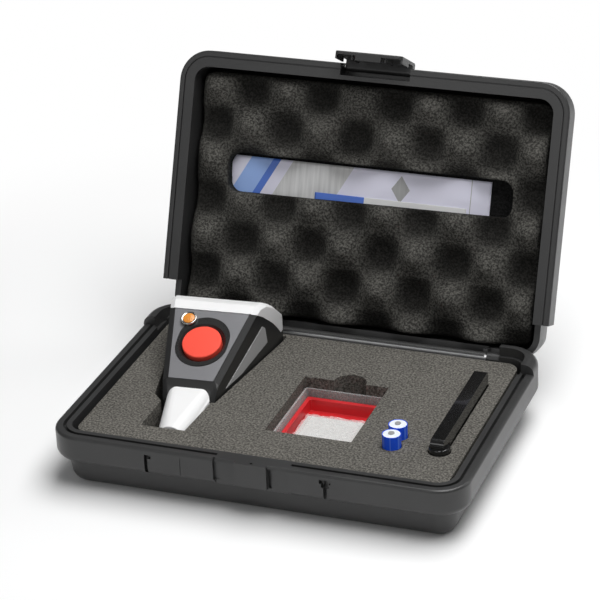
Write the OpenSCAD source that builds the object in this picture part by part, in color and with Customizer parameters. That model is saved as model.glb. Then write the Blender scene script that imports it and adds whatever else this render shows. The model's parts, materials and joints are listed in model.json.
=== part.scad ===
/* [Case] */
// Outside width of the case, left to right
case_w = 275; // [270:1:280]
// Outside depth of the case, front to back
case_d = 190; // [188:1:194]
// Height of the base, table to rim
base_h = 39; // [38:1:42]
// Height of the lid, rim to top
lid_h = 41; // [41:1:44]
// Plan radius of the case corners
corner_r = 21; // [21:1:24]
// How far the lid stands open, in degrees
lid_angle = 111.6; // [95:0.2:115]
// Radius of the steel hinge rod
rod_r = 1.5; // [1.2:0.1:1.8]

/* [Rim] */
// Width of the outer band of the base rim
band_w = 5.1; // [4:0.1:6]
// Width of the dust groove in the base rim
groove_w = 2.3; // [1.5:0.1:2.6]
// Depth of the dust groove
groove_deep = 3.5; // [2:0.1:5]
// Full width of the rim, outside to inside
rim_w = 10.8; // [10.4:0.1:11]
// Height of the thick skirt beside the rim
skirt_h = 19; // [17:0.5:20]
// How far the tub stands in from the skirt
tub_inset = 7; // [6:0.5:8]

/* [Latch] */
// Offset of the latch from the middle of the front
latch_x = 2; // [-4:0.5:4]
// Width of the latch flap
latch_w = 47; // [40:1:52]
// Swing of the latch out from its locked place, in degrees
latch_rest = 8; // [8:0.5:12]

/* [Foam] */
// Gap between the rim of the base and the top of its foam
foam_drop = 2.8; // [2:0.1:4]
// Gap between the case outside and the foam edge
foam_inset = 13.8; // [13:0.1:15]

/* [Tester] */
// Turn of the tester in its pocket, in degrees
tester_turn = 4.6; // [4.2:0.1:5]
// Slope of the tester's face, in degrees
face_slope = 24.5; // [23:0.1:26]
// Length of the face along its slope
face_len = 57.3; // [56:0.1:57.4]
// Radius of the red button
button_r = 13.1; // [12.4:0.1:13.8]
// Travel of the red button
button_travel = 2.5; // [1.5:0.1:2.8]

/* [Accessories] */
// Diameter of a spare cell
cell_d = 12; // [11.8:0.1:12]
// Length of a spare cell
cell_len = 30.2; // [29:0.1:30.2]
// Length of the handle bar
bar_len = 98; // [90:1:98]

/* [Hidden] */
$fn = 48;
eps = 0.01;
wall = 2.6;
black = [0.09, 0.09, 0.1];

// Case levels and hinge line
rim_z = base_h;
rim_gap = 0.2;
tub_r = 10;
tub_draft = 1.5;
skirt_round = 5;
reach = 20.5;
hinge_y = case_d / 2 - 6;
hinge_z = rim_z - 4;
lid_top = rim_z + lid_h;
foam_top = rim_z - foam_drop;
pad_top = 8.4;
foam_w = case_w - 2 * foam_inset;
foam_d = case_d - 2 * foam_inset;

// Hinge line details
rear_wall_y = case_d / 2 - 10.2;
rear_wall_t = 1.8;
knuckle_in = 99.5;
knuckle_out = 108;
knuckle_r = 3.6;
channel_r = 3.4;
channel_end = 97.5;
rod_play = 0.08;
guard_x = 108.5;
guard_y = 66;
guard_h = 6.5;
lid_ear_x = 98;
lid_band_end = 64;
lid_corner_lift = 8;

// Latch in the frame of the shut lid
pin_y = -case_d / 2 + 2.5;
pin_z = rim_z + 10;
pin_r = 1.1;
barrel_r = 2.8;
notch_w = latch_w + 2;
notch_deep = 8;
keeper_w = 21;
keeper_out = 1.5;
keeper_low = rim_z - 16;
flap_in = -case_d / 2 - keeper_out - 0.5;
flap_t = 2.4;
flap_low = keeper_low - 3.4;

// Tester frame: origin on the nose axis at the front of the face
tester_x = -69.6;
tester_y = -15.9;
tester_z = 25.8;
face_y = 0.8;
face_z = 21.3;
face_half_front = 15.3;
face_half_back = 25.6;
split_z = 2;
shell_t = 2.2;
dish_s = 31.2;
dish_r = 17.4;
dish_long = 2.9;
button_s = 30.1;
button_up = 1.8;
lamp_s = 48.2;
lamp_x = -13.4;
lamp_r = 5.5;
nose_z = 1.9;
nose_r0 = 15.1;
nose_r1 = 9.4;
nose_root = -2.6;
nose_tip = -44.9;
nose_tube = 12;
nose_round = 7;
board_z = 12;
cell_r = cell_d / 2;

// Box, spare cells and bar
box_x = 21.8;
box_y = -8.8;
box_w = 56.4;
box_d = 73.4;
box_h = 20.4;
notch_x = 24;
notch_r = 10.9;
spare_x = 76.5;
spare_y = [-43.6, -30.6];
spare_z = foam_top + 9.4 - cell_len;
bar_x = 106.9;
bar_w = 8.8;
bar_y0 = -47.5;
bar_top = foam_top + 9.5;
bar_low = foam_top - 9;
foot_r = 6.9;
foot_top = foam_top + 3.2;

// Leaflets behind the slot of the lid foam
leaf_z = rim_z + 20.6;
leaf_t = 0.5;
lid_foam_z = rim_z + 13;

function arc(cx, cy, r, a0, a1, n = 6) =
    [for (i = [0 : n]) let (a = a0 + (a1 - a0) * i / n) [cx + r * cos(a), cy + r * sin(a)]];

module rounded(w, d, r) {
    square([w - 2 * r, d], center = true);
    square([w, d - 2 * r], center = true);
    for (sx = [-1, 1], sy = [-1, 1])
        translate([sx * (w / 2 - r), sy * (d / 2 - r)]) circle(r);
}

module block(w, d, r, z0, z1) {
    translate([0, 0, z0]) linear_extrude(z1 - z0) rounded(w, d, r);
}

module box_at(lo, hi) {
    translate(lo) cube(hi - lo);
}

// Carries a wall profile, given as [distance in from the outline, height], round the case
module swept_wall(w, d, r, profile) {
    corners = [[w / 2 - r, d / 2 - r], [r - w / 2, d / 2 - r],
               [r - w / 2, r - d / 2], [w / 2 - r, r - d / 2]];
    for (q = [0 : 3]) {
        translate([corners[q][0], corners[q][1], 0])
            rotate([0, 0, 90 * q])
                rotate_extrude(angle = 90)
                    polygon([for (p = profile) [r - p[0], p[1]]]);
        half = (q % 2 == 0) ? w / 2 : d / 2;
        run = (q % 2 == 0) ? d - 2 * r : w - 2 * r;
        rotate([0, 0, 90 * q])
            translate([0, run / 2, 0])
                rotate([90, 0, 0])
                    linear_extrude(run)
                        polygon([for (p = profile) [half - p[0], p[1]]]);
    }
}

module cyl_x(x0, x1, y, z, r) {
    translate([x0, y, z]) rotate([0, 90, 0]) cylinder(r = r, h = x1 - x0);
}

// Turns what is drawn for the shut lid to the open lid
module opened() {
    translate([0, hinge_y, hinge_z])
        rotate([-lid_angle, 0, 0])
            translate([0, -hinge_y, -hinge_z]) children();
}

// Turns the locked latch out to its resting place
module swung() {
    translate([0, pin_y, pin_z]) rotate([-latch_rest, 0, 0]) translate([0, -pin_y, -pin_z]) children();
}

// ---- base ----
base_profile = concat(
    [[reach, 0]],
    arc(tub_inset + tub_draft + tub_r, tub_r, tub_r, 270, 180),
    [[tub_inset, base_h - skirt_h]],
    arc(skirt_round, base_h - skirt_h + skirt_round, skirt_round, 270, 180),
    arc(2, rim_z - 2, 2, 180, 90, 4),
    [[band_w, rim_z], [band_w, rim_z - groove_deep],
     [band_w + groove_w, rim_z - groove_deep], [band_w + groove_w, rim_z],
     [rim_w, rim_z]],
    arc(reach - 1.7, 10.1, 7.5, 180, 270),
    [[reach, wall]]);

guard_profile = concat(
    [[0, rim_z - 5]],
    [for (i = [0 : 6]) let (a = 180 - 15 * i) [6.5 + 6.5 * cos(a), rim_z + guard_h * sin(a)]],
    [[rim_w - 2, rim_z + guard_h], [rim_w - 2, rim_z - 5]]);

module corner_guards() {
    r = corner_r;
    cx = case_w / 2 - r;
    cy = case_d / 2 - r;
    for (s = [0, 1]) mirror([s, 0, 0]) {
        translate([cx, cy, 0]) rotate_extrude(angle = 90)
            polygon([for (p = guard_profile) [r - p[0], p[1]]]);
        translate([0, cy, 0]) rotate([90, 0, 0]) linear_extrude(cy - guard_y)
            polygon([for (p = guard_profile) [case_w / 2 - p[0], p[1]]]);
        translate([guard_x, 0, 0]) rotate([90, 0, 90]) linear_extrude(cx - guard_x)
            polygon([for (p = guard_profile) [case_d / 2 - p[0], p[1]]]);
    }
}

// Narrow slots in the front skirt: left edge, lower and upper end, width, depth
front_marks = [[-69.6, 17.5, 4.4, 2.2, 4], [-23.4, 15, -1, 1.5, 2.5],
               [12.7, 16.2, 3.2, 1.9, 4], [49.1, 20.6, 3.6, 2.5, 4]];

module front_slots() {
    front = -case_d / 2;
    for (m = front_marks)
        box_at([m[0], front - 1, rim_z - m[1]], [m[0] + m[3], front + m[4], rim_z - m[2]]);
    box_at([-69.6, front - 1, rim_z - 7], [-65, front + 2.2, rim_z - 4.4]);
    box_at([-23.4, front - 1, rim_z - 15], [-19.6, front + 2.2, rim_z - 13.6]);
    box_at([46.5, front - 1, rim_z - 6.4], [54, front + 2.2, rim_z - 3.6]);
    box_at([47.8, front - 1, rim_z - 9], [52.7, front + 2.2, rim_z - 6.3]);
    for (x = [-68.7, 50.2])
        box_at([x - 0.35, front - 1, base_h - skirt_h - 1], [x + 0.35, front + 0.5, rim_z - 8]);
    box_at([-45.6, front - 1, rim_z - 16], [-45, front + 0.5, rim_z - 3.4]);
}

module base_shell() color(black) {
    front = -case_d / 2;
    difference() {
        union() {
            swept_wall(case_w, case_d, corner_r, base_profile);
            block(case_w - 2 * reach + 1, case_d - 2 * reach + 1, corner_r - reach + 0.5, 0, wall);
            // Plain rim behind the latch, where the groove stops
            box_at([latch_x - 24.5, front + band_w - 1, rim_z - groove_deep - 1],
                   [latch_x + 24.5, front + rim_w - 0.5, rim_z]);
            // Keeper that the latch hooks under
            box_at([latch_x - keeper_w / 2, front - keeper_out, keeper_low],
                   [latch_x + keeper_w / 2, front + 4, rim_z]);
        }
        // Seat for the latch on both sides of the keeper
        for (s = [0, 1]) translate([latch_x, 0, 0]) mirror([s, 0, 0])
            box_at([keeper_w / 2, front - 1, base_h - skirt_h - 1], [24.5, front + 2, rim_z - 1.6]);
        box_at([latch_x - keeper_w / 2 - 0.5, front - 3, base_h - skirt_h - 1],
               [latch_x + keeper_w / 2 + 0.5, front + 2, keeper_low]);
        front_slots();
        translate([latch_x, front + 1, rim_z - 6]) cylinder(r = 1, h = 8, $fn = 24);
        // Back of the case, cut away for the hinge and for the open lid to lean on
        intersection() {
            opened() box_at([-guard_x, hinge_y - 60, hinge_z - 60],
                            [guard_x, case_d / 2 + 0.3, hinge_z + 60]);
            box_at([-guard_x, rear_wall_y, 12], [guard_x, case_d, rim_z + 20]);
        }
        box_at([-guard_x, hinge_y - 12, foam_top - 0.8], [guard_x, case_d, rim_z + 20]);
        // Rim stopped at the guards
        for (s = [0, 1]) mirror([s, 0, 0])
            box_at([case_w / 2 - rim_w - 1, guard_y - 2, foam_top],
                   [case_w / 2 - rim_w + 2, case_d / 2 - 10, rim_z + 1]);
    }
    box_at([-guard_x - 8, rear_wall_y - rear_wall_t, wall - 1], [guard_x + 8, rear_wall_y, foam_top - 0.8]);
    corner_guards();
    // Hinge knuckles
    for (s = [0, 1]) mirror([s, 0, 0]) difference() {
        union() {
            cyl_x(knuckle_in, knuckle_out + 1, hinge_y, hinge_z, knuckle_r);
            box_at([knuckle_in, rear_wall_y - 1, hinge_z - 7],
                   [knuckle_out + 1, hinge_y + 1.5, hinge_z + 1.5]);
        }
        cyl_x(knuckle_in - 1, knuckle_out, hinge_y, hinge_z, rod_r + 0.02);
    }
}

module hinge_rod() color("silver")
    cyl_x(-knuckle_out + 0.2, knuckle_out - 0.2, hinge_y, hinge_z, rod_r);

// ---- foam in the base ----
module base_outline() {
    back = rear_wall_y - rear_wall_t - 0.3;
    front = -foam_d / 2;
    translate([0, (back + front) / 2]) rounded(foam_w, back - front, 9);
}

module tester_frame() {
    translate([tester_x, tester_y, tester_z]) rotate([0, 0, tester_turn]) children();
}

pocket_half = [for (y = [86, 56, -7.4]) [body_half(y) + 0.8, y]];

module tester_pocket() {
    polygon(concat(
        [[10.2, -46.4], [-19.4, -44.7], [-17.1, -10.7], [-23.9, -2.3],
         [-32.4, 56], [-40.4, 88], [-38, 93], [38.3, 93]],
        pocket_half,
        [[15.6, -7.4]]));
}

module base_foam() color([0.36, 0.35, 0.31]) difference() {
    translate([0, 0, pad_top + 0.2]) linear_extrude(foam_top - pad_top - 0.2) base_outline();
    tester_frame() translate([0, 0, -30]) linear_extrude(60) tester_pocket();
    translate([box_x, box_y, pad_top]) linear_extrude(40) square([box_w + 1.2, box_d + 1.4], center = true);
    translate([notch_x, box_y + box_d / 2 + 0.7, pad_top]) cylinder(r = notch_r, h = 40);
    for (y = spare_y) translate([spare_x, y, spare_z - 0.2]) cylinder(r = cell_r + 0.35, h = 40);
    box_at([bar_x - bar_w / 2 - 0.5, bar_y0 + 6, bar_low - 0.2],
           [bar_x + bar_w / 2 + 0.5, bar_y0 + bar_len + 0.5, rim_z]);
    translate([bar_x, bar_y0 + 6, bar_low - 0.2]) cylinder(r = foot_r + 0.4, h = 40);
}

module base_pad() color([0.3, 0.29, 0.27])
    translate([0, 0, wall + 0.2]) linear_extrude(pad_top - wall - 0.2)
        translate([0, 1]) rounded(foam_w - 14, foam_d - 14, 8);

// ---- lid, drawn shut and then turned open ----
lid_profile = concat(
    [[reach, lid_top]],
    arc(tub_inset + tub_draft + tub_r, lid_top - tub_r, tub_r, 90, 180),
    [[tub_inset, rim_z + skirt_h]],
    arc(skirt_round, rim_z + skirt_h - skirt_round, skirt_round, 90, 180),
    arc(1.2, rim_z + rim_gap + 1.2, 1.2, 180, 270, 3),
    [[3.6, rim_z + rim_gap], [3.6, rim_z + 1.4], [4.5, rim_z + 1.4], [4.5, rim_z + rim_gap],
     [11, rim_z + rim_gap]],
    arc(reach - 1.5, lid_top - 10.1, 7.5, 180, 90),
    [[reach, lid_top - wall]]);

module lid_shell() color(black) opened() {
    front = -case_d / 2;
    difference() {
        union() {
            swept_wall(case_w, case_d, corner_r, lid_profile);
            block(case_w - 2 * reach + 1, case_d - 2 * reach + 1, corner_r - reach + 0.5,
                  lid_top - wall, lid_top);
        }
        // Recess that houses the latch
        box_at([latch_x - notch_w / 2, front - 1, rim_z - 1],
               [latch_x + notch_w / 2, front + notch_deep, pin_z + 7.4]);
        cyl_x(latch_x - notch_w / 2 - 4, latch_x + notch_w / 2 + 4, pin_y, pin_z, pin_r + 0.02);
        // Back corners, cut clear of the guards of the base
        for (s = [0, 1]) mirror([s, 0, 0]) {
            box_at([lid_ear_x, lid_band_end, rim_z - 1], [case_w, case_d, rim_z + lid_corner_lift]);
            intersection() {
                box_at([lid_ear_x, lid_band_end, rim_z - 1], [case_w, case_d, rim_z + skirt_h + 0.5]);
                difference() {
                    box_at([0, 0, rim_z - 2], [case_w, case_d, rim_z + skirt_h + 1]);
                    block(case_w - 2 * tub_inset, case_d - 2 * tub_inset, corner_r - tub_inset,
                          rim_z - 3, rim_z + skirt_h + 2);
                }
            }
        }
        // Thin wall along the hinge
        box_at([-lid_ear_x + 3, 80, rim_z - 1], [lid_ear_x - 3, case_d / 2 - 3.2, rim_z + skirt_h - 2.8]);
        channel_space();
    }
    // Open channel that snaps over the rod
    difference() {
        union() {
            cyl_x(-channel_end, channel_end, hinge_y, hinge_z, channel_r);
            box_at([-channel_end, hinge_y, hinge_z + 0.5], [channel_end, case_d / 2 - 2, rim_z + 4]);
        }
        channel_space();
    }
}

module channel_space() {
    cyl_x(-channel_end - 1, channel_end + 1, hinge_y, hinge_z, rod_r + rod_play);
    box_at([-channel_end - 1, hinge_y - 1.3, hinge_z - 6], [channel_end + 1, hinge_y + 1.3, hinge_z]);
}

// Window of the lid foam, a little wider at its hinge side
module slot_shape() {
    polygon(concat(
        arc(-92.6, -19.4, 8, 180, 270), arc(94.2, -19.7, 8, 270, 360),
        arc(94.4, -10.8, 8, 0, 90), arc(-88.6, -8.5, 8, 90, 180)));
}

module lid_foam() color([0.22, 0.22, 0.2]) opened() difference() {
    union() {
        block(foam_w, foam_d, 7, lid_foam_z, lid_top - 8);
        block(foam_w - 10, foam_d - 10, 5, lid_top - 9, lid_top - wall - 0.2);
    }
    // Pocket for the leaflets and the slot they show through
    translate([0, -12, leaf_z - 0.2]) linear_extrude(leaf_t * 2 + 0.7) square([212, 32], center = true);
    translate([0, 0, lid_foam_z - 1]) linear_extrude(leaf_z - lid_foam_z + 1) slot_shape();
    // Room for the tester, which the foam gives way to when the lid is shut
    intersection() {
        tester_frame() translate([0, 0, -20]) linear_extrude(71) square([92, 240], center = true);
        union() {
            box_at([-140, 2, lid_foam_z - 1], [0, 100, rim_z + 36.4]);
            box_at([-140, -30, lid_foam_z - 1], [0, 5, leaf_z - 0.4]);
        }
    }
}

module leaflet(x, y, w, d, z) {
    opened() translate([x, y, z]) linear_extrude(leaf_t) square([w, d], center = true);
}

module leaflet_front() color([0.8, 0.8, 0.92]) leaflet(14.45, -2.05, 107.7, 7.1, leaf_z);
module leaflet_back() color([0.55, 0.6, 0.75]) leaflet(-9.85, -11.9, 188.3, 26.8, leaf_z + leaf_t + 0.15);

// ---- latch ----
module latch_flap() color(black) opened() swung() difference() {
    union() {
        cyl_x(latch_x - latch_w / 2, latch_x + latch_w / 2, pin_y, pin_z, barrel_r);
        translate([latch_x + latch_w / 2, 0, 0]) rotate([0, -90, 0]) linear_extrude(latch_w)
            polygon([[flap_low, flap_in - flap_t + 0.8], [flap_low + 0.8, flap_in - flap_t],
                     [pin_z + 1.6, flap_in - flap_t], [pin_z + 2.8, flap_in - flap_t + 1.4],
                     [pin_z + 2.8, pin_y], [pin_z - 2.8, pin_y],
                     [pin_z - 2.8, flap_in], [flap_low, flap_in]]);
        // Hook under the keeper and the ribs that stiffen the flap
        box_at([latch_x - 9, flap_in - 1, flap_low], [latch_x + 9, -case_d / 2 + 1.4, keeper_low - 0.5]);
        for (x = [-23.5, -12.4, 11, 22.1])
            box_at([latch_x + x, flap_in - 1, flap_low + 2],
                   [latch_x + x + 1.4, -case_d / 2 + 0.8, rim_z - 2]);
    }
    cyl_x(latch_x - latch_w, latch_x + latch_w, pin_y, pin_z, pin_r + 0.06);
    // Clipped corners at the free edge
    for (s = [-1, 1]) translate([latch_x + s * latch_w / 2, flap_in, flap_low])
        rotate([0, s * 45, 0]) cube([3.4, 20, 3.4], center = true);
}

module latch_pin() color("silver") opened()
    cyl_x(latch_x - notch_w / 2 - 3.8, latch_x + notch_w / 2 + 3.8, pin_y, pin_z, pin_r);

// ---- tester housing ----
function body_half(y) = 19 + 0.21 * y;
// Stations along the body: place, top, half width on top, underside, half width below
stations = [
    [-7, 4.5, 13.8, -14.4, 13],
    [-6.7, 10.4, 14.2, -15.2, 13.6],
    [-2.5, 17, 14.9, -16, 14.6],
    [face_y, face_z, face_half_front + 0.6, -16.4, 15],
    [53.3, 45.25, face_half_back + 0.7, -16.8, 24],
    [61, 47.6, 27.8, -16.8, 25],
    [69, 46.4, 29.4, -14.6, 25],
    [76, 42.2, 31, -10.5, 25],
    [81, 38.4, 32.4, -5.5, 25],
    [90, 30.6, 33.4, 8, 27],
    [94.6, 26, 33, 14.6, 30],
    [97.6, 22.6, 32, 19.6, 31]];

// Outline of the body across one station, shrunk by t for the inside
function section(s, t) = let (
    half = min(body_half(s[0]), 37.4 - max(0, s[0] - 88) * 0.3) - t,
    top = s[1] - t,
    low = s[3] + t,
    waist = max(min(9, top - 5), low + 1.5),
    edge = min(s[2] + 3.2, half + t - 0.1),
    right = [[s[2] - t * 0.7, top], [edge - t, top - 2.6],
             [half, waist], [half, waist - (waist - low) * 0.2],
             [(half + s[4]) / 2 + 1, (waist + low) / 2 - (waist - low) * 0.1],
             [s[4] - t, low + (waist - low) * 0.1], [s[4] - 3 - t, low]])
    concat(right, [for (i = [len(right) - 1 : -1 : 0]) [-right[i][0], right[i][1]]]);

module body(t) {
    hull() for (s = stations)
        translate([0, s[0] + (s[0] < 0 ? t : 0) - (s[0] > 60 ? t : 0), 0])
            rotate([90, 0, 0]) linear_extrude(eps) polygon(section(s, t));
}

module shell() {
    difference() {
        body(0);
        body(shell_t);
    }
}

// Side outline of the rear cap, carried across the body
module cap_zone(gap) {
    translate([-60, gap, gap]) rotate([90, 0, 90]) linear_extrude(120)
        polygon([[53.3, 60], [53.3, 44.9], [63.1, 38.7], [75.4, 28.5], [86.6, 16.3], [110, 16.3], [110, 60]]);
}

module on_face() {
    translate([0, face_y, face_z]) rotate([face_slope, 0, 0]) children();
}

module dish_hole(r, z0, z1) {
    on_face() translate([0, dish_s, z0]) linear_extrude(z1 - z0) {
        for (s = [-1, 1]) translate([0, s * dish_long]) circle(r);
        square([2 * r, 2 * dish_long], center = true);
    }
}

module plate_outline(t, len) {
    polygon([[-face_half_front + t, t], [face_half_front - t, t],
             [face_half_back - t, len - t], [-face_half_back + t, len - t]]);
}

module inlay_shape(grow) {
    for (s = [0, 1]) mirror([s, 0, 0])
        rotate([90, 0, 90]) linear_extrude(60)
            polygon([[9 - grow * 3, 12.4 - grow], [30, 12.5 - grow], [66.5 + grow, 18.6 - grow],
                     [64.6 + grow, 30], [61, 32.8 + grow]]);
}

// Outer form of the nose: a rounded square at its root, round at its tip
module nose_form(grow) {
    wide = 2 * (nose_r0 + grow);
    hull() {
        translate([0, 0, -nose_root]) linear_extrude(eps) rounded(wide, wide - 0.2, nose_round + grow);
        translate([0, 0, -nose_tip - 0.5]) linear_extrude(eps) circle(nose_r1 + grow);
        translate([0, 0, -nose_tip - eps]) linear_extrude(eps) circle(nose_r1 + grow - 0.4);
    }
}

// Room for the white nose in the front of the housing
module nose_room() {
    translate([0, 0, nose_z]) rotate([90, 0, 0]) {
        nose_form(0.08);
        translate([0, 0, -4]) cylinder(r = nose_tube + 0.08, h = 8);
    }
}

module lower_housing() color(black) tester_frame() difference() {
    intersection() {
        shell();
        box_at([-60, -60, -40], [60, 120, split_z]);
    }
    nose_room();
    box_at([-14, 14, -20], [14, 50, -16.8 + shell_t + 0.1]);
    for (x = [-13, 13], y = [4, 57]) translate([x, y, -20]) cylinder(r = 1.35, h = 10, $fn = 24);
}

module upper_housing() color(black) tester_frame() difference() {
    union() {
        intersection() {
            shell();
            box_at([-60, -60, split_z + 0.05], [60, 120, 80]);
        }
        // Posts that carry the circuit board
        on_face() for (p = [[-9, 9], [9, 9], [16, 47]])
            translate([p[0], p[1], -13.65]) cylinder(r = 1.8, h = 12.2);
    }
    cap_zone(0);
    nose_room();
    on_face() translate([0, 0, -1.2]) linear_extrude(4) plate_outline(-0.1, face_len + 0.8);
    dish_hole(dish_r - 1, -6, 4);
    on_face() translate([lamp_x, lamp_s, -8]) cylinder(r = lamp_r - 1.4, h = 12);
    difference() {
        inlay_shape(0.1);
        body(1.1);
    }
}

module rear_cap() color("white") tester_frame() intersection() {
    shell();
    cap_zone(0.1);
}

module face_plate() color([0.5, 0.5, 0.53]) tester_frame() difference() {
    on_face() translate([0, 0, -1.1]) linear_extrude(1.2) plate_outline(0.1, face_len);
    dish_hole(dish_r + 0.1, -3, 3);
    on_face() translate([lamp_x, lamp_s, -8]) cylinder(r = lamp_r - 1.2, h = 12);
}

module side_inlays() color([0.42, 0.42, 0.43]) tester_frame() intersection() {
    difference() {
        body(-0.25);
        body(1);
    }
    inlay_shape(0);
}

// ---- nose ----
module nose_cone() color("white") tester_frame() translate([0, 0, nose_z]) rotate([90, 0, 0]) difference() {
    union() {
        nose_form(0);
        translate([0, 0, -3]) cylinder(r = nose_tube, h = 7);
    }
    translate([0, 0, -4]) cylinder(r1 = nose_tube - 1.6, r2 = nose_r1 - 2.4, h = -nose_tip);
    translate([0, 0, -nose_tip - 6]) cylinder(r = nose_r1 - 2.4, h = 8);
}

module nose_lens() color([0.2, 0.24, 0.3]) tester_frame()
    translate([0, nose_tip + 1.2, nose_z]) rotate([-90, 0, 0]) cylinder(r = nose_r1 - 2.5, h = 2.6);

// ---- button, its dish, spring and switch ----
module button_dish() color([0.05, 0.05, 0.06]) tester_frame() difference() {
    union() {
        dish_hole(dish_r, -1.1, 0.5);
        dish_hole(dish_r - 1.2, -5, 0.5);
    }
    on_face() {
        translate([0, button_s, -10]) cylinder(r = button_r + 0.35, h = 20);
        translate([0, button_s, -2]) cylinder(r1 = button_r + 0.35, r2 = button_r + 2.75, h = 2.4);
        translate([0, button_s, 0.3]) cylinder(r = button_r + 2.7, h = 4);
        translate([lamp_x, lamp_s, -8]) cylinder(r = lamp_r + 0.1, h = 12);
    }
}

module push_button() color([0.9, 0.18, 0.15]) tester_frame() on_face() translate([0, button_s, 0])
    rotate_extrude() polygon(concat(
        [[0, -1.8], [0, -6.4], [2.2, -6.4], [2.2, -1.8]],
        [[button_r - 1.6, -1.8], [button_r - 1.6, -4.2], [button_r, -4.2]],
        arc(button_r - 0.9, button_up - 0.9, 0.9, 0, 80, 4),
        [[button_r * 0.5, button_up + 0.45], [0, button_up + 0.6]]));

module button_spring() color("silver") tester_frame() on_face() translate([0, button_s, -13.6])
    difference() {
        cylinder(r = 4.6, h = 11.7);
        translate([0, 0, -1]) cylinder(r = 3.6, h = 14);
    }

module push_switch() color([0.15, 0.15, 0.16]) tester_frame() on_face() translate([0, button_s, 0]) {
    box_at([-2.4, -2.4, -13.6], [2.4, 2.4, -10.4]);
    translate([0, 0, -10.5]) cylinder(r = 1.7, h = 1.5);
}

module lamp_bezel() color([0.8, 0.8, 0.82]) tester_frame() on_face() translate([lamp_x, lamp_s, 0])
    rotate_extrude() polygon(concat(
        [[lamp_r - 1.7, -4], [lamp_r - 1.5, -4], [lamp_r - 1.5, 0.15], [lamp_r, 0.15], [lamp_r, 1.6]],
        arc(lamp_r - 0.8, 2, 0.8, 0, 90, 4), [[lamp_r - 1.7, 2.4]]));

module lamp_lens() color([0.95, 0.55, 0.12]) tester_frame() on_face() translate([lamp_x, lamp_s, 0])
    rotate_extrude() polygon(concat(
        [[0, -7], [lamp_r - 1.8, -7], [lamp_r - 1.8, 2]], [[lamp_r * 0.4, 3.1], [0, 3.3]]));

// ---- inside the tester ----
module circuit_board() color([0.1, 0.4, 0.2]) tester_frame() on_face()
    translate([0, 0, -15.2]) linear_extrude(1.5)
        polygon([[-11, 6], [11, 6], [19, 50], [-19, 50]]);

module cell_cradle() color([0.12, 0.12, 0.13]) tester_frame() difference() {
    box_at([-13.6, 13.2, -13.8], [13.6, 51, -4]);
    for (x = [-6.7, 6.7]) translate([x, 15, -6.6]) rotate([-90, 0, 0]) cylinder(r = cell_r + 0.25, h = 34);
    box_at([-12.7, 15, -6.6], [12.7, 49, 0]);
}

module n_cell() {
    cylinder(r = cell_r - 0.05, h = cell_len - 1);
    cylinder(r = 2, h = cell_len);
}

module fitted_cells() color([0.2, 0.3, 0.7]) tester_frame()
    for (x = [-6.7, 6.7]) translate([x, 16.9, -6.6]) rotate([-90, 0, 0]) n_cell();

module cell_contacts() color("silver") tester_frame()
    for (x = [-6.7, 6.7]) {
        box_at([x - 3, 15.2, -11], [x + 3, 15.7, -3]);
        box_at([x - 3, 48.2, -11], [x + 3, 48.7, -3]);
        translate([x, 15.6, -6.6]) rotate([-90, 0, 0]) cylinder(r1 = 3, r2 = 1.6, h = 1.2);
    }

module cell_door() color(black) tester_frame() difference() {
    box_at([-13.8, 14.2, -16.8], [13.8, 49.8, -14.5]);
    for (i = [0 : 3]) box_at([-7, 17 + 1.8 * i, -17], [7, 17.9 + 1.8 * i, -16.3]);
}

module housing_screws() color("silver") tester_frame()
    for (x = [-13, 13], y = [4, 57]) translate([x, y, -16.4]) {
        cylinder(r = 1.3, h = 8, $fn = 24);
    }

// ---- sample box ----
module box_tray() color([0.85, 0.87, 0.9, 0.4]) translate([box_x, box_y, 0]) difference() {
    block(box_w, box_d, 2, pad_top + 0.1, pad_top + box_h);
    block(box_w - 3, box_d - 3, 1, pad_top + 1.6, pad_top + box_h + 1);
}

module box_liner() color([0.85, 0.12, 0.12]) translate([box_x, box_y, 0]) difference() {
    block(box_w - 3.4, box_d - 3.4, 1, pad_top + 1.7, pad_top + 14.6);
    block(box_w - 9, box_d - 10, 1.5, pad_top + 6.5, pad_top + 20);
}

module sample_plate() color([0.8, 0.8, 0.78]) translate([box_x - 0.9, box_y - 5, pad_top + 7.2])
    linear_extrude(3) rounded(39, 46, 1);

module plate_bag() color([0.9, 0.9, 0.9, 0.4]) translate([box_x - 0.7, box_y - 3.4, 0]) difference() {
    block(45, 55, 3, pad_top + 6.7, pad_top + 11.2);
    translate([-0.2, -1.6, 0]) block(40, 47, 1, pad_top + 7, pad_top + 10.7);
}

// ---- spare cells ----
module cell_can(y) {
    translate([spare_x, y, spare_z]) {
        cylinder(r = cell_r - 0.4, h = cell_len - 0.9);
        cylinder(r = 2, h = cell_len);
    }
}

module cell_wrap(y) {
    translate([spare_x, y, spare_z + 0.3]) difference() {
        cylinder(r = cell_r, h = cell_len - 1.1);
        translate([0, 0, -1]) cylinder(r = cell_r - 0.38, h = cell_len + 2);
    }
}

module front_cell_can() color([0.9, 0.9, 0.92]) cell_can(spare_y[0]);
module rear_cell_can() color([0.9, 0.9, 0.92]) cell_can(spare_y[1]);
module front_cell_wrap() color([0.1, 0.25, 0.75]) cell_wrap(spare_y[0]);
module rear_cell_wrap() color([0.1, 0.25, 0.75]) cell_wrap(spare_y[1]);

// ---- handle bar ----
module bar_body() color([0.07, 0.07, 0.08]) {
    far = bar_y0 + bar_len;
    translate([bar_x - bar_w / 2, 0, 0]) rotate([90, 0, 90]) linear_extrude(bar_w)
        polygon(concat([[bar_y0 + 13.1, bar_low], [far, bar_low]],
                       arc(far - 2, bar_top - 2, 2, 0, 90, 4),
                       arc(bar_y0 + 4, bar_top - 4, 4, 90, 180, 5),
                       [[bar_y0, foot_top + 2.2], [bar_y0 + 1.8, foot_top + 1.2],
                        [bar_y0 + 1.8, foot_top + 0.1], [bar_y0 + 13.1, foot_top + 0.1]]));
}

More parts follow.
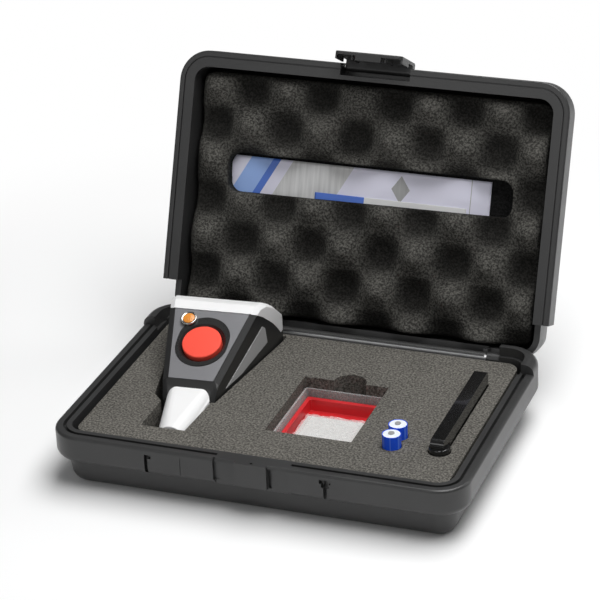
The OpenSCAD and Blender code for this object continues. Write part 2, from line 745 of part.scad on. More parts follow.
module bar_end_cap() color([0.07, 0.07, 0.08])
    translate([bar_x, bar_y0 + 6, 0]) rotate_extrude()
        polygon([[0, bar_low], [foot_r, bar_low], [foot_r, foot_top - 0.6],
                 [foot_r - 0.6, foot_top], [0, foot_top]]);

base_shell();
hinge_rod();
base_pad();
base_foam();
lid_shell();
lid_foam();
leaflet_front();
leaflet_back();
latch_flap();
latch_pin();
lower_housing();
upper_housing();
rear_cap();
face_plate();
side_inlays();
nose_cone();
nose_lens();
button_dish();
push_button();
button_spring();
push_switch();
lamp_bezel();
lamp_lens();
circuit_board();
cell_cradle();
fitted_cells();
cell_contacts();
cell_door();
housing_screws();
box_tray();
box_liner();
sample_plate();
plate_bag();
front_cell_can();
front_cell_wrap();
rear_cell_can();
rear_cell_wrap();
bar_body();
bar_end_cap();
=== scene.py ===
import bmesh
import bpy
import json
import math
import numpy as np
from mathutils import Matrix, Vector


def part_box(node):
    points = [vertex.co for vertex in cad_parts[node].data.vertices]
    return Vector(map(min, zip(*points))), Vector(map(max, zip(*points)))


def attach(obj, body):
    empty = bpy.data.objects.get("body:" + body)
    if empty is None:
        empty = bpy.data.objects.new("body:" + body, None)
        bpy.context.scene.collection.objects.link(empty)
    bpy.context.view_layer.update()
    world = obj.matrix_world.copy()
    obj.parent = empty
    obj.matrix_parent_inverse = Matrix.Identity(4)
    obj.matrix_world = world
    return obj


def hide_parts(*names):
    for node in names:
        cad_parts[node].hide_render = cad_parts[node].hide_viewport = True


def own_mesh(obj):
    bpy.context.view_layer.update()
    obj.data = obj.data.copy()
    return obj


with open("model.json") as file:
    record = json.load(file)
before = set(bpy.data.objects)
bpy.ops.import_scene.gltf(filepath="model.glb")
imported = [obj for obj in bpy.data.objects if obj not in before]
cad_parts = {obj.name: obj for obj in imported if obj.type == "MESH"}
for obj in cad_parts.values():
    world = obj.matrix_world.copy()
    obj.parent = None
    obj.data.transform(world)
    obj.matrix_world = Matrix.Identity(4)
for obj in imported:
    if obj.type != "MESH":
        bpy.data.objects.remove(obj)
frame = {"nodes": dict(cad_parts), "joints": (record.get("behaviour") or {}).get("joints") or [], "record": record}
nodes = frame["nodes"]
joints = {joint["name"]: joint for joint in frame["joints"]}
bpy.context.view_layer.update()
mm = 0.001
print("frame loaded:", len(nodes), "nodes")


# ---- shader building ----
class Wire:
    # an output socket whose arithmetic adds Math nodes to its material
    def __init__(self, finish, socket):
        self.finish = finish
        self.socket = socket

    def math(self, operation, *values):
        return self.finish.add("ShaderNodeMath", {"operation": operation}, values)

    def __add__(self, other):
        return self.math("ADD", self, other)

    def __sub__(self, other):
        return self.math("SUBTRACT", self, other)

    def __rsub__(self, other):
        return self.math("SUBTRACT", other, self)

    def __mul__(self, other):
        return self.math("MULTIPLY", self, other)

    def __pow__(self, other):
        return self.math("POWER", self, other)

    def __gt__(self, other):
        return self.math("GREATER_THAN", self, other)

    def __lt__(self, other):
        return self.math("LESS_THAN", self, other)

    __radd__ = __add__
    __rmul__ = __mul__

    def size(self):
        return self.math("ABSOLUTE", self)

    def smooth(self, low, high):
        # 0 below low, 1 above high, an S-shaped ramp between
        settings = {"interpolation_type": "SMOOTHSTEP"}
        return self.finish.add("ShaderNodeMapRange", settings, {0: self, 1: low, 2: high})


class Finish:
    # one material: add() for any shader node, surface() for the closing shader
    def __init__(self, name):
        self.material = bpy.data.materials.new(name)
        self.material.use_nodes = True
        self.tree = self.material.node_tree
        self.tree.nodes.clear()
        self.end = self.tree.nodes.new("ShaderNodeOutputMaterial")
        self.place = self.add("ShaderNodeTexCoord", None, {}, "Object")

    def add(self, kind, settings=None, inputs=(), output=0):
        node = self.tree.nodes.new(kind)
        for key, value in (settings or {}).items():
            setattr(node, key, value)
        pairs = inputs.items() if isinstance(inputs, dict) else enumerate(inputs)
        for key, value in pairs:
            if isinstance(value, Wire):
                self.tree.links.new(value.socket, node.inputs[key])
            else:
                node.inputs[key].default_value = value
        return Wire(self, node.outputs[output])

    def mix(self, factor, first, second):
        return self.add("ShaderNodeMix", {"data_type": "RGBA"}, {0: factor, 6: first, 7: second}, 2)

    def noise(self, scale, detail=2.0, where=None, roughness=0.5):
        values = {"Vector": where or self.place, "Scale": scale, "Detail": detail, "Roughness": roughness}
        return self.add("ShaderNodeTexNoise", None, values)

    def cells(self, scale, feature="F1"):
        values = {"Vector": self.place, "Scale": scale}
        return self.add("ShaderNodeTexVoronoi", {"feature": feature}, values, "Distance")

    def axes(self, where=None):
        return [self.add("ShaderNodeSeparateXYZ", None, {0: where or self.place}, i) for i in range(3)]

    def bump(self, height, strength, distance):
        return self.add("ShaderNodeBump", None,
                        {"Height": height, "Strength": strength, "Distance": distance})

    def surface(self, colour, roughness, normal=None, **fixed):
        values = {"Base Color": colour, "Roughness": roughness}
        if normal is not None:
            values["Normal"] = normal
        for key, value in fixed.items():
            values[key.replace("_", " ")] = value
        shader = self.add("ShaderNodeBsdfPrincipled", None, values)
        self.tree.links.new(shader.socket, self.end.inputs["Surface"])
        return self.material


def grey(value, tint=(1.0, 1.0, 1.0)):
    return (value * tint[0], value * tint[1], value * tint[2], 1.0)


# moulded case plastic: fine leather-like grain, dull sheen, faint scuffs
casePlastic = {"dark": grey(0.023), "pale": grey(0.05), "gloss": 0.32,
               "grainScale": 1500, "grain": 0.05 * mm}


def makeCasePlastic():
    f = Finish("casePlastic")
    grain = f.cells(casePlastic["grainScale"], "SMOOTH_F1")
    patches = f.noise(30, 3)
    scuffs = f.noise(220, 5, roughness=0.7).smooth(0.62, 0.78)
    colour = f.mix(patches * 0.6 + scuffs * 0.25, casePlastic["dark"], casePlastic["pale"])
    return f.surface(colour, casePlastic["gloss"] + patches * 0.1 + scuffs * 0.12,
                     f.bump(grain, 0.35, casePlastic["grain"]))


# open-cell foam: specks of light and dark cells on a warm grey; the slab's near-black tones are painted shade for
# the deep gap behind the window
foamLook = {"bed": (grey(0.036, (1, 0.95, 0.85)), grey(0.2, (1, 0.95, 0.85))),
            "lid": (grey(0.012, (1, 0.98, 0.88)), grey(0.13, (1, 0.97, 0.88))),
            "slab": (grey(0.004), grey(0.02)), "cell": 800}


def makeFoam(name, dark, pale, pitShade=None):
    # last argument: axis, level and reach of painted shade that darkens the colour towards the pits of a relief
    f = Finish(name)
    pores = f.cells(foamLook["cell"])
    specks = f.noise(720, 2, roughness=0.6)
    drift = f.noise(45, 2)
    tone = specks.smooth(0.34, 0.68) * 0.75 + drift * 0.25
    colour = f.mix(tone, dark, pale)
    colour = f.mix(pores.smooth(0.0, 0.35), (dark[0] * 0.6, dark[1] * 0.6, dark[2] * 0.6, 1), colour)
    if pitShade:
        axis, level, reach = pitShade
        # painted shade: the colour darkens towards the pits, as if shaded there
        along = f.add("ShaderNodeVectorMath", {"operation": "DOT_PRODUCT"}, {0: f.place, 1: tuple(axis)}, 1)
        paintedPitShade = (along - level).smooth(0.0, reach)
        colour = f.mix(paintedPitShade * 0.8, colour, (dark[0] * 0.3, dark[1] * 0.3, dark[2] * 0.3, 1))
    height = specks * 0.6 + pores * 0.8
    return f.surface(colour, 0.95, f.bump(height, 0.7, 0.35 * mm), Specular_IOR_Level=0.15)


# lid pieces are worked out for the shut lid and then turned open with it
hinge = joints["lid_hinge"]
openAngle = math.radians(hinge["range_deg"][0])
hingeAt = Vector(hinge["pos_m"])
lidTurn = Matrix.Translation(hingeAt) @ Matrix.Rotation(openAngle, 4, "X") @ Matrix.Translation(-hingeAt)
lidUp = (lidTurn.to_3x3() @ Vector((0, 0, 1))).normalized()
rim = 39 * mm
lidFloor = rim + 38.2 * mm
# painted shade darkens the lid foam's relief from this height over the shut rim, over this reach
pits = {"from": rim + 5.5 * mm, "reach": 11 * mm}
pitLevel = (lidTurn @ Vector((0, 0, pits["from"]))).dot(lidUp)


def makeSteel():
    # brushed along the rod: noise stretched in X
    f = Finish("rodSteel")
    brushed = f.add("ShaderNodeMapping", None, {"Vector": f.place, "Scale": (40, 2500, 2500)})
    lines = f.noise(1.0, 3, brushed)
    return f.surface(f.mix(lines, grey(0.85), grey(0.98)), 0.26 + lines * 0.16, Metallic=0.3)


def makeMoulded(name, colour, roughness, mottling=0.06, grain=0.25, **fixed):
    # plain moulded plastic: barely uneven colour, fine texture in gloss and surface
    f = Finish(name)
    uneven = f.noise(60, 2)
    fine = f.noise(1800, 2)
    dim = tuple(c * (1 - mottling) for c in colour[:3]) + (1.0,)
    return f.surface(f.mix(uneven, dim, colour), roughness + uneven * 0.06 + fine * 0.05,
                     f.bump(fine, grain, 0.02 * mm), **fixed)


def makeClear(name, tint, alpha, roughness, crinkle=0.0):
    # clear sheet: mostly see-through, its white skin made more opaque at grazing angles and on fold ridges as a
    # painted sheen and painted highlights
    f = Finish(name)
    folds = f.noise(160, 4, roughness=0.65)
    facing = f.add("ShaderNodeLayerWeight", None, {"Blend": 0.35}, "Facing")
    normal = f.bump(folds, crinkle, 1.5 * mm) if crinkle else None
    # painted sheen: opacity rises where the sheet is seen edge-on and on fold crests
    paintedSheenAlpha = alpha + facing * 0.35 + folds.smooth(0.5, 0.75) * crinkle * 0.25
    return f.surface(tint, roughness, normal, Alpha=paintedSheenAlpha)


materials = {
    "case": makeCasePlastic(),
    "bedFoam": makeFoam("bedFoam", *foamLook["bed"]),
    "lidFoam": makeFoam("lidFoam", *foamLook["lid"], pitShade=(lidUp, pitLevel, pits["reach"])),
    "lidSlab": makeFoam("lidSlab", *foamLook["slab"]),
    "steel": makeSteel(),
    "housing": makeMoulded("testerHousing", grey(0.016), 0.3, grain=0.12, Coat_Weight=0.15),
    "cap": makeMoulded("whiteShell", grey(0.86), 0.3, 0.03, 0.1),
    "facePlate": makeMoulded("greyFace", grey(0.23, (1, 1, 1.05)), 0.4, 0.05, 0.2, Metallic=0.55),
    "inlay": makeMoulded("greyInlay", grey(0.4), 0.42, 0.05, 0.2),
    "lens": makeMoulded("noseWindow", grey(0.02, (0.8, 0.9, 1.2)), 0.05, 0.02, 0.02),
    "dish": makeMoulded("dishBlack", grey(0.02), 0.22, 0.05, 0.05, Specular_IOR_Level=0.35),
    "button": makeMoulded("redButton", (0.96, 0.095, 0.06, 1), 0.5, 0.05, 0.3, Specular_IOR_Level=0.2),
    "chrome": makeMoulded("ringChrome", grey(0.5, (1, 0.96, 0.9)), 0.14, 0.02, 0.02, Metallic=1.0),
    "amber": makeMoulded("amberLens", (0.72, 0.26, 0.04, 1), 0.15, 0.1, 0.05,
                         Emission_Color=(0.9, 0.35, 0.05, 1), Emission_Strength=0.08),
    "board": makeMoulded("greenBoard", (0.02, 0.15, 0.05, 1), 0.35),
    "bar": makeMoulded("glossBlack", grey(0.008), 0.1, 0.05, 0.004, Coat_Weight=0.5),
    "clear": makeClear("clearBox", grey(0.85), 0.12, 0.08),
    "bag": makeClear("clearBag", grey(0.9), 0.14, 0.2, 0.6),
    "liner": makeMoulded("redLiner", (0.66, 0.024, 0.03, 1), 0.25, 0.15, 0.1),
    "plate": makeMoulded("palePlate", grey(0.6, (1, 0.99, 0.96)), 0.5, 0.1, 0.4),
}


def makeCellWrap():
    # printed film: blue with thin paler bars down the side
    f = Finish("cellWrap")
    x = f.axes()[0]
    bars = x.math("SINE", x * 1400).smooth(0.86, 0.95)
    colour = f.mix(bars * 0.35, (0.01, 0.1, 0.88, 1), (0.2, 0.42, 1.0, 1))
    return f.surface(colour, 0.25, f.bump(f.noise(500, 2), 0.1, 0.1 * mm))


def makeCellCan():
    # white plastic end with a grey metal pole in the middle
    f = Finish("cellEnd")
    z = f.axes()[2]
    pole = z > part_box("front_cell_can")[1].z - 0.5 * mm
    tone = f.noise(400, 2)
    colour = f.mix(pole, f.mix(tone, grey(0.8, (0.9, 0.95, 1)), grey(0.92, (0.92, 0.96, 1))), grey(0.3))
    return f.surface(colour, 0.3 + tone * 0.1)


materials["wrap"] = makeCellWrap()
materials["cellEnd"] = makeCellCan()
finishOf = {
    "base_shell": "case", "lid_shell": "case", "latch_flap": "case",
    "hinge_rod": "steel", "latch_pin": "steel", "button_spring": "steel", "cell_contacts": "steel",
    "housing_screws": "steel", "lower_housing": "housing", "upper_housing": "housing",
    "cell_cradle": "housing", "cell_door": "housing", "push_switch": "housing",
    "rear_cap": "cap", "nose_cone": "cap", "nose_lens": "lens", "face_plate": "facePlate",
    "side_inlays": "inlay", "base_foam": "bedFoam", "base_pad": "bedFoam",
    "button_dish": "dish", "push_button": "button", "lamp_bezel": "chrome",
    "lamp_lens": "amber", "circuit_board": "board", "fitted_cells": "wrap",
    "box_tray": "clear", "box_liner": "liner", "sample_plate": "plate", "plate_bag": "bag",
    "front_cell_can": "cellEnd", "rear_cell_can": "cellEnd",
    "front_cell_wrap": "wrap", "rear_cell_wrap": "wrap", "bar_body": "bar", "bar_end_cap": "bar",
}
for name, look in finishOf.items():
    mesh = nodes[name].data
    mesh.materials.clear()
    mesh.materials.append(materials[look])
print("finishes made:", len(materials))


# ---- meshes ----
def addPiece(name, points, faces, material, smooth=True):
    mesh = bpy.data.meshes.new(name)
    mesh.from_pydata(np.asarray(points, float).tolist(), [], [list(f) for f in faces])
    mesh.materials.append(material)
    mesh.polygons.foreach_set("use_smooth", np.full(len(mesh.polygons), smooth))
    mesh.update()
    piece = bpy.data.objects.new(name, mesh)
    bpy.context.scene.collection.objects.link(piece)
    return piece


def gridFaces(rows, columns, offset=0, closed=False):
    # quads between neighbouring points of a rows by columns grid
    r = np.arange(rows - 1)[:, None]
    c = np.arange(columns if closed else columns - 1)[None, :]
    n = (c + 1) % columns
    corners = [r * columns + c, r * columns + n, (r + 1) * columns + n, (r + 1) * columns + c]
    return np.stack(corners, -1).reshape(-1, 4) + offset


def gridPoints(x, y, z):
    return np.stack([x, y, z], -1).reshape(-1, 3)


def shellFaces(rows, columns):
    # an upper and a lower sheet of rows by columns points, closed round their edge
    count = rows * columns
    faces = gridFaces(rows, columns)[:, ::-1].tolist() + gridFaces(rows, columns, count).tolist()
    ring = np.concatenate([np.arange(columns), np.arange(1, rows) * columns + columns - 1,
                           (rows - 1) * columns + np.arange(columns - 2, -1, -1),
                           np.arange(rows - 2, 0, -1) * columns])
    after = np.roll(ring, -1)
    return faces + np.stack([ring, after, after + count, ring + count], 1).tolist()


def applyModifiers(piece):
    depsgraph = bpy.context.evaluated_depsgraph_get()
    done = bpy.data.meshes.new_from_object(piece.evaluated_get(depsgraph))
    done.name = piece.name
    piece.modifiers.clear()
    piece.data = done


# rounding of the edges of the hard pieces, in millimetres
rounding = {"base_shell": 0.35, "lid_shell": 0.35, "latch_flap": 0.35, "latch_pin": 0.15, "hinge_rod": 0.2,
            "lower_housing": 0.5, "upper_housing": 0.5, "rear_cap": 0.7, "face_plate": 0.15,
            "side_inlays": 0.25, "nose_cone": 0.35, "nose_lens": 0.1, "button_dish": 0.15,
            "push_button": 0.35, "lamp_bezel": 0.12,
            "cell_door": 0.3, "box_tray": 0.2, "box_liner": 0.5, "sample_plate": 0.4,
            "front_cell_can": 0.3, "rear_cell_can": 0.3, "front_cell_wrap": 0.1, "rear_cell_wrap": 0.1,
            "bar_body": 0.9, "bar_end_cap": 0.5}
bodyOf = {node: body for body, parts in frame["record"]["behaviour"]["bodies"].items() for node in parts}


def camel(name):
    first, *rest = name.split("_")
    return first + "".join(word.capitalize() for word in rest)


def standIn(piece, node):
    # the piece moves with the node's body and is shown in its place
    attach(piece, bodyOf[node])
    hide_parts(node)


def roundEdges(node, width, clamp=True):
    # flat triangles are joined into whole faces first, so that the bevel runs along clean edges
    mesh = nodes[node].data.copy()
    work = bmesh.new()
    work.from_mesh(mesh)
    bmesh.ops.remove_doubles(work, verts=work.verts, dist=0.004 * mm)
    bmesh.ops.dissolve_limit(work, angle_limit=math.radians(0.6), verts=work.verts, edges=work.edges)
    work.to_mesh(mesh)
    work.free()
    mesh.polygons.foreach_set("use_smooth", np.full(len(mesh.polygons), True))
    piece = bpy.data.objects.new(camel(node), mesh)
    bpy.context.scene.collection.objects.link(piece)
    bevel = piece.modifiers.new("bevel", "BEVEL")
    bevel.width = width * mm
    bevel.segments = 2
    bevel.limit_method = "ANGLE"
    bevel.angle_limit = math.radians(28)
    bevel.miter_outer = "MITER_ARC"
    bevel.use_clamp_overlap = clamp
    weighted = piece.modifiers.new("normals", "WEIGHTED_NORMAL")
    weighted.weight = 80
    applyModifiers(piece)
    standIn(piece, node)
    return piece


for node, width in rounding.items():
    roundEdges(node, width)
print("edges rounded:", len(rounding), "pieces")


def waves(points, pitch, seed):
    # soft random relief: six sine waves of random heading summed, about -1 to 1
    spin = np.random.default_rng(seed)
    total = np.zeros(len(points))
    for _ in range(6):
        heading = spin.normal(size=3)
        heading /= np.linalg.norm(heading)
        period = pitch * spin.uniform(0.6, 1.5)
        start = spin.uniform(0, 6.3)
        total += np.sin(points @ heading * (2 * math.pi / period) + start)
    return total / 3


def turnWithLid(piece):
    piece.data.transform(lidTurn)
    piece.data.update()


# cut foam blocks: crisp edges, barely rounded
foamBed = roundEdges("base_foam", 0.5, clamp=False)
foamBottom = roundEdges("base_pad", 1.0)
print("foam bed:", len(foamBed.data.polygons), "faces")

# egg-crate foam: its relief follows cos(pi x / p) cos(pi y / p), so crests and pits take turns like a
# chessboard. The power over 1 narrows the crests, and the one under 1 widens the pits.
eggCrate = {"pitch": (25.3 * mm, 25.5 * mm), "crest": (-61.7 * mm, -71 * mm), "middle": rim + 9.7 * mm,
            "swing": 8.2 * mm, "crestPower": 1.5, "pitPower": 0.7, "size": (246.6 * mm, 162 * mm),
            "corner": 8 * mm, "step": 1.6 * mm, "back": rim + 20.2 * mm, "voxel": 1.3 * mm}
# the window in it, in millimetres: middle of each corner's arc, and the arc's start in degrees
window = {"radius": 8, "corners": ((-92.6, -19.4, 180), (94.2, -19.7, 270),
                                   (94.4, -10.8, 0), (-92.0, -8.5, 90))}


def roundedGrid(size, corner, step):
    # a square grid pressed into a rectangle with round corners: each row keeps its share of the width there
    columns = int(size[0] / step)
    rows = int(size[1] / step)
    u, v = np.meshgrid(np.linspace(-1, 1, columns), np.linspace(-1, 1, rows))
    halfX, halfY = size[0] / 2, size[1] / 2
    y = v * halfY
    past = np.clip(np.abs(y) - (halfY - corner), 0, corner)
    width = halfX - corner + np.sqrt(np.maximum(corner ** 2 - past ** 2, 0))
    return u * width, y


def makeEggCrate():
    e = eggCrate
    x, y = roundedGrid(e["size"], e["corner"], e["step"])
    crest = np.cos(math.pi * (x - e["crest"][0]) / e["pitch"][0])
    crest = crest * np.cos(math.pi * (y - e["crest"][1]) / e["pitch"][1])
    crest = np.where(crest > 0, np.abs(crest) ** e["crestPower"], -np.abs(crest) ** e["pitPower"])
    drift = waves(gridPoints(x, y, 0 * x), 30 * mm, 21) * 0.9 * mm
    top = e["middle"] - e["swing"] * crest + drift.reshape(x.shape)
    edge = np.minimum(e["size"][0] / 2 - np.abs(x), e["size"][1] / 2 - np.abs(y))
    top = top + 2.0 * mm * np.clip(1 - edge / (4 * mm), 0, 1) ** 2
    sheets = [gridPoints(x, y, top), gridPoints(x, y, np.full_like(x, e["back"]))]
    piece = addPiece("eggCrateFoam", np.concatenate(sheets), shellFaces(*x.shape), materials["lidFoam"])
    radius = window["radius"]
    outline = []
    for middleX, middleY, start in window["corners"]:
        turn = np.radians(start + np.linspace(0, 90, 13))
        bend = [middleX + radius * np.cos(turn), middleY + radius * np.sin(turn)]
        outline.append(np.stack(bend, 1) * mm)
    outline = np.concatenate(outline)
    n = len(outline)
    low = np.column_stack([outline, np.full(n, rim - 5 * mm)])
    high = low + np.array([0, 0, 40 * mm])
    sides = [[i, (i + 1) % n, n + (i + 1) % n, n + i] for i in range(n)]
    cutter = addPiece("slotCutter", np.concatenate([low, high]),
                      sides + [list(range(n))[::-1], list(range(n, 2 * n))], materials["lidFoam"])
    cut = piece.modifiers.new("slot", "BOOLEAN")
    cut.operation = "DIFFERENCE"
    cut.object = cutter
    cut.solver = "EXACT"
    remesh = piece.modifiers.new("remesh", "REMESH")
    remesh.mode = "VOXEL"
    remesh.voxel_size = e["voxel"]
    applyModifiers(piece)
    bpy.data.objects.remove(cutter)
    piece.data.materials.clear()
    piece.data.materials.append(materials["lidFoam"])
    piece.data.polygons.foreach_set("use_smooth", np.full(len(piece.data.polygons), True))
    return piece


def makeBackFoam():
    # plain cut slab between the leaflets and the lid's floor, a little narrower at the floor; its near-black
    # colour is painted shade for the deep gap seen past the leaflets
    x, y = roundedGrid((244 * mm, 160 * mm), 7 * mm, 6 * mm)
    drift = waves(gridPoints(x, y, 0 * x), 40 * mm, 22) * 0.15 * mm
    near = gridPoints(x, y, rim + 22.6 * mm + drift.reshape(x.shape))
    far = gridPoints(x * 0.96, y * 0.94, np.full_like(x, lidFloor))
    return addPiece("lidBackFoam", np.concatenate([near, far]), shellFaces(*x.shape), materials["lidSlab"])


for piece in (makeEggCrate(), makeBackFoam()):
    turnWithLid(piece)
    standIn(piece, "lid_foam")
    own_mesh(piece)
    print(piece.name, len(piece.data.polygons), "faces")


# folded leaflets: coated paper with a slight wave; edges and level over the shut rim in millimetres,
# and u and v of the print in metres from the window's middle
leaflet = {"back": {"left": -104, "right": 84.3, "low": 1.5, "high": -25.3, "level": 21.3,
                    "node": "leaflet_back"},
           "front": {"left": -39.4, "right": 68.3, "low": 1.5, "high": -5.6, "level": 20.6,
                     "node": "leaflet_front"}}
blue = {"mid": (0.08, 0.2, 0.72, 1), "light": (0.34, 0.52, 0.95, 1)}


def makeBackPrint():
    # two slanting bands, a grey panel of soft upright streaks and a small lozenge on lilac-white paper
    f = Finish("leafletPrint")
    u, v = f.axes(f.add("ShaderNodeUVMap", {"uv_map": "print"}))[:2]
    slant = u - v * 0.55
    streaks = f.noise(1.0, 3, f.add("ShaderNodeCombineXYZ", None, {0: u * 420, 1: v * 25}))
    panel = (slant > -0.063) * (slant < -0.019)
    colour = f.mix(panel, grey(0.9, (0.95, 0.94, 1.1)), f.mix(streaks, grey(0.42), grey(0.9)))
    colour = f.mix((slant > -0.0935) * (slant < -0.072), colour, blue["light"])
    colour = f.mix((slant > -0.0775) * (slant < -0.072), colour, blue["mid"])
    lozenge = (u - 0.021).size() + (v + 0.001).size() * 0.7 < 0.0065
    colour = f.mix(lozenge, colour, f.mix(streaks, grey(0.28), grey(0.55)))
    colour = f.mix((u - 0.0705).size() < 0.00025, colour, grey(0.45))
    return f.surface(colour, 0.3 + f.noise(300, 2) * 0.1)


def makeFrontPrint():
    # the visible fold of a second leaflet: blue on its left third, white beyond
    f = Finish("foldPrint")
    u = f.axes(f.add("ShaderNodeUVMap", {"uv_map": "print"}))[0]
    colour = f.mix(u > -0.004, blue["mid"], grey(0.86))
    return f.surface(colour, 0.32 + f.noise(300, 2) * 0.1)


def makeLeaflet(key, material, seed):
    d = leaflet[key]
    across = np.linspace(d["left"], d["right"], 90) * mm
    x, y = np.meshgrid(across, np.linspace(d["high"], d["low"], 16) * mm)
    wave = waves(gridPoints(x, y, 0 * x), 120 * mm, seed) * 0.12 * mm
    front = gridPoints(x, y, rim + d["level"] * mm + wave.reshape(x.shape))
    points = np.concatenate([front, front + np.array([0, 0, 0.25 * mm])])
    piece = addPiece("leaflet" + key.capitalize(), points, shellFaces(*x.shape), material)
    layer = piece.data.uv_layers.new(name="print")
    index = np.empty(len(piece.data.loops), int)
    piece.data.loops.foreach_get("vertex_index", index)
    windowMiddle = -14.5 * mm
    places = np.stack([points[index, 0], windowMiddle - points[index, 1]], 1)
    layer.data.foreach_set("uv", places.ravel())
    turnWithLid(piece)
    standIn(piece, d["node"])


makeLeaflet("back", makeBackPrint(), 31)
makeLeaflet("front", makeFrontPrint(), 32)
print("leaflets made")

# ---- bag round the sample plate ----
# film height: a smooth ramp from the welded edge to the plate's top, and folds that fade towards the middle
bag = {"edge": 2.0 * mm, "ramp": 4.0 * mm, "fold": 1.5 * mm, "pitch": 9 * mm,
       "step": 0.6 * mm, "seal": 0.5 * mm, "cover": 0.2 * mm}


def makeBag():
    low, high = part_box("plate_bag")
    columns = int((high.x - low.x) / bag["step"])
    rows = int((high.y - low.y) / bag["step"])
    x, y = np.meshgrid(np.linspace(low.x, high.x, columns), np.linspace(low.y, high.y, rows))
    edge = np.minimum(np.minimum(x - low.x, high.x - x), np.minimum(y - low.y, high.y - y))
    ramp = np.clip((edge - bag["edge"]) / bag["ramp"], 0, 1)
    ramp = ramp * ramp * (3 - 2 * ramp)
    flat = gridPoints(x, y, 0 * x)
    folds = 1 - np.abs(waves(flat, bag["pitch"], 41)).reshape(x.shape)
    fine = 1 - np.abs(waves(flat, bag["pitch"] * 0.45, 42)).reshape(x.shape)
    loose = np.clip(1 - edge / (9 * mm), 0.12, 1)
    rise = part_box("sample_plate")[1].z + bag["cover"] - low.z - bag["seal"]
    top = low.z + bag["seal"] + rise * ramp
    top = top + bag["fold"] * np.clip(folds * 0.7 + fine * 0.3, 0, 1) * loose
    sheets = [gridPoints(x, y, top), gridPoints(x, y, np.full_like(x, low.z + 0.05 * mm))]
    faces = [face[::-1] for face in shellFaces(rows, columns)]
    return addPiece("plateBag", np.concatenate(sheets), faces, materials["bag"])


standIn(makeBag(), "plate_bag")
print("bag made")

# ---- amber lens: rings of facets on a round body ----
# ring: radius and height over the face in millimetres, and turn in steps of half a facet
gem = {"facets": 10, "rings": ((3.65, -5, 0), (3.65, 2.0, 0), (4.3, 2.8, 1),
                               (3.2, 3.3, 0), (1.6, 3.7, 1), (0.3, 3.8, 0))}


def makeGem():
    axis = -Vector(joints["button_press"]["axis"]).normalized()
    side = Vector((1, 0, 0)).cross(axis).normalized()
    other = axis.cross(side)
    low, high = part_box("lamp_lens")
    middle = (low + high) / 2 + axis * 1.85 * mm
    count = gem["facets"]
    points = []
    for radius, height, turn in gem["rings"]:
        angle = 2 * math.pi * (np.arange(count) + turn / 2) / count
        out = np.cos(angle)[:, None] * np.array(side) + np.sin(angle)[:, None] * np.array(other)
        points.append(radius * mm * out + np.array(middle + axis * height * mm))
    faces = gridFaces(len(points), count, closed=True).tolist()
    faces += [list(range(count))[::-1], [len(points) * count - count + i for i in range(count)]]
    return addPiece("lampLens", np.concatenate(points), faces, materials["amber"], False)


standIn(makeGem(), "lamp_lens")
print("lamp lens made")

# ---- return spring under the button ----
# wire round a helix: turn t lies at radius R, angle 2 pi t and height L t / turns along the button's travel
spring = {"radius": 4.1 * mm, "wire": 0.4 * mm, "turns": 7, "steps": 24, "sides": 8}


def makeSpring():
    s = spring
    axis = np.array(-Vector(joints["button_press"]["axis"]).normalized())
    side = np.cross([1.0, 0, 0], axis)
    side /= np.linalg.norm(side)
    other = np.cross(axis, side)
    low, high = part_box("button_spring")
    tube = (high.x - low.x) / 2
    # the solid's box is as deep as a tilted cylinder of this length
    length = (high.z - low.z - 2 * tube * math.hypot(axis[0], axis[1])) / axis[2]
    foot = np.array((low + high) / 2) - axis * (length / 2 - s["wire"])
    turn = np.linspace(0, s["turns"], s["turns"] * s["steps"] + 1)
    angle = 2 * math.pi * turn
    out = np.cos(angle)[:, None] * side + np.sin(angle)[:, None] * other
    middle = foot + out * s["radius"] + (turn / s["turns"] * (length - 2 * s["wire"]))[:, None] * axis
    about = (2 * math.pi * np.arange(s["sides"]) / s["sides"])[None, :, None]
    ring = np.cos(about) * out[:, None, :] + np.sin(about) * axis
    points = (middle[:, None, :] + ring * s["wire"]).reshape(-1, 3)
    faces = gridFaces(len(turn), s["sides"], closed=True)[:, ::-1].tolist()
    faces += [list(range(s["sides"])), [len(points) - 1 - i for i in range(s["sides"])]]
    piece = addPiece("buttonSpring", points, faces, materials["steel"])
    standIn(piece, "button_spring")
    travel = joints["button_press"]["range_m"][1]
    tuple(foot - axis * s["wire"])
    (length - travel) / length
    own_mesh(piece)


makeSpring()
print("spring wound")

# ---- floor, light and camera ----
stageLook = {"size": 6.0, "white": 0.93, "fadeFrom": 0.28, "fadeTo": 0.55}


def makeFloor():
    # white paint that the camera sees turn to plain white light away from the case
    f = Finish("floorWhite")
    x, y = f.axes()[:2]
    away = ((x * x + y * y) ** 0.5).smooth(stageLook["fadeFrom"], stageLook["fadeTo"])
    path = f.add("ShaderNodeLightPath", None, (), "Is Camera Ray")
    paint = f.add("ShaderNodeBsdfDiffuse", None, {"Color": grey(stageLook["white"])})
    glow = f.add("ShaderNodeEmission", None, {"Color": (1, 1, 1, 1), "Strength": 1.0})
    blend = f.add("ShaderNodeMixShader", None, {0: away * path, 1: paint, 2: glow})
    f.tree.links.new(blend.socket, f.end.inputs["Surface"])
    return f.material


half = stageLook["size"] / 2
floor = addPiece("floor", [(-half, -half, 0), (half, -half, 0), (half, half, 0), (-half, half, 0)],
                 [(0, 1, 2, 3)], makeFloor(), False)

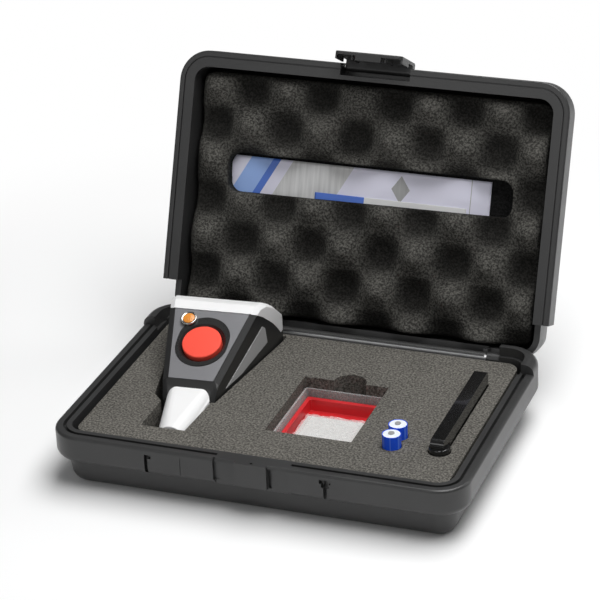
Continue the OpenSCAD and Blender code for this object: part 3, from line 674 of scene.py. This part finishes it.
world = bpy.data.worlds.new("studio")
bpy.context.scene.world = world
world.use_nodes = True
tree = world.node_tree
tree.nodes.clear()
path = tree.nodes.new("ShaderNodeLightPath")
seen = tree.nodes.new("ShaderNodeMath")
seen.operation = "MAXIMUM"
tree.links.new(path.outputs["Is Camera Ray"], seen.inputs[0])
tree.links.new(path.outputs["Is Transmission Ray"], seen.inputs[1])
white = tree.nodes.new("ShaderNodeBackground")
white.inputs[0].default_value = (1, 1, 1, 1)
white.inputs[1].default_value = 1.0
ambient = tree.nodes.new("ShaderNodeBackground")
ambient.inputs[0].default_value = (0.98, 0.99, 1, 1)
ambient.inputs[1].default_value = 0.13
chooser = tree.nodes.new("ShaderNodeMixShader")
tree.links.new(seen.outputs[0], chooser.inputs[0])
tree.links.new(ambient.outputs[0], chooser.inputs[1])
tree.links.new(white.outputs[0], chooser.inputs[2])
worldEnd = tree.nodes.new("ShaderNodeOutputWorld")
tree.links.new(chooser.outputs[0], worldEnd.inputs[0])

# lamp: place, aim, width, height, watts
lamps = {"overhead": ((0.3, 0.08, 1.3), (0, 0, 0), 1.6, 0.8, 22),
         "frontFill": ((-0.35, -1.4, 0.8), (0, 0, 0.08), 0.9, 0.6, 2.6),
         "rightBack": ((1.2, 0.9, 0.8), (0, 0, 0.05), 0.6, 0.6, 3.2)}
for name, (place, aim, width, height, watts) in lamps.items():
    lamp = bpy.data.lights.new(name, "AREA")
    lamp.shape = "RECTANGLE"
    lamp.size, lamp.size_y, lamp.energy = width, height, watts
    holder = bpy.data.objects.new(name, lamp)
    holder.location = place
    holder.rotation_euler = (Vector(aim) - Vector(place)).to_track_quat("-Z", "Y").to_euler()
    bpy.context.scene.collection.objects.link(holder)

view = {"place": (0.54533, -1.41079, 0.84666), "right": (0.93914, 0.34145, -0.03772),
        "up": (-0.11850, 0.42507, 0.89737), "lens": 159.47}
camera = bpy.data.objects.new("camera", bpy.data.cameras.new("camera"))
camera.data.lens = view["lens"]
camera.data.sensor_width = 36
right, up = Vector(view["right"]).normalized(), Vector(view["up"]).normalized()
back = right.cross(up).normalized()
turn = Matrix((right, up, back)).transposed()
camera.matrix_world = Matrix.Translation(view["place"]) @ turn.to_4x4()
bpy.context.scene.collection.objects.link(camera)
bpy.context.scene.camera = camera
bpy.context.scene.view_settings.view_transform = "Standard"
print("stage ready")
